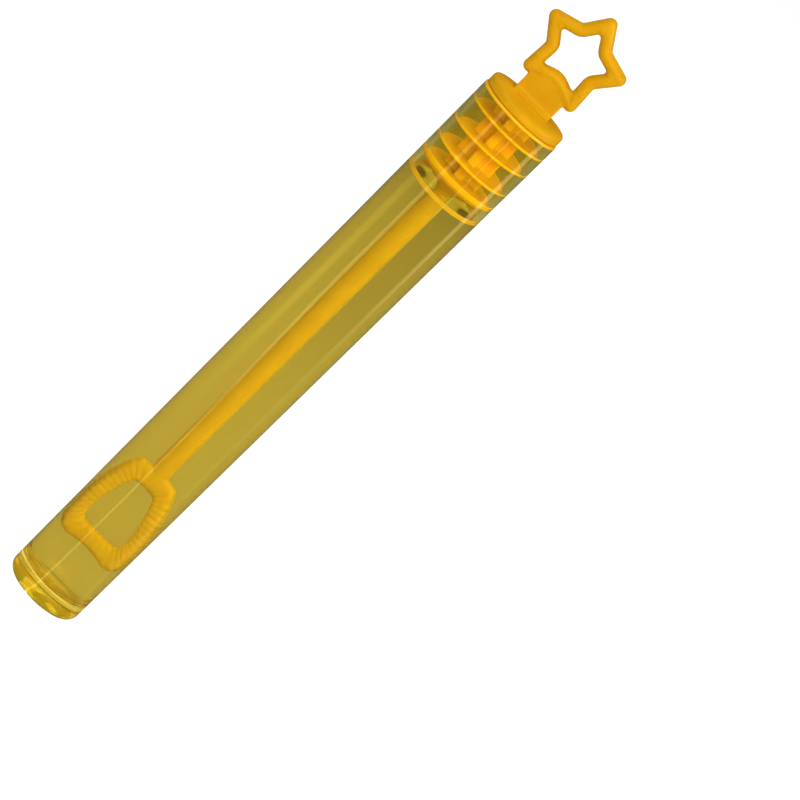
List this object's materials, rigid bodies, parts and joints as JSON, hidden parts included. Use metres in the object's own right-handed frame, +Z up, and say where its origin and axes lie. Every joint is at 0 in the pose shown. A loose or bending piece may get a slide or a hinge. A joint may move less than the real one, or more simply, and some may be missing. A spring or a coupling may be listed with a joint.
{
  "type": "bubble wand",
  "caption": "Slim clear tube of bubble solution closed by a pull-out stopper with a hollow star handle and, on a long stem, a ridged dipping loop.",
  "frame": {"origin": "centre of the tube's foot, on the surface it stands on", "axes": "+Z up along the tube's axis, -Y towards the star's front face, +X to its right as seen from the front"},
  "size_m": [0.0138, 0.013, 0.1128],
  "materials": {
    "clear_tube": "clear, yellow-tinted, polished",
    "solution": "clear liquid",
    "yellow_plastic": "satin, moulded"
  },
  "bodies": {
    "tube": {"tube": "clear_tube", "bubble_solution": "solution"},
    "wand": {"star_handle": "yellow_plastic", "stopper_flange": "yellow_plastic", "plug_core": "yellow_plastic", "seal_discs": "yellow_plastic", "plug_tip": "yellow_plastic", "dip_stem": "yellow_plastic", "bubble_loop": "yellow_plastic"}
  },
  "joints": [
    {"name": "wand_pull", "type": "slide", "parent": "tube", "child": "wand", "axis": [0, 0, 1], "range_m": [0, 0.095]}
  ]
}
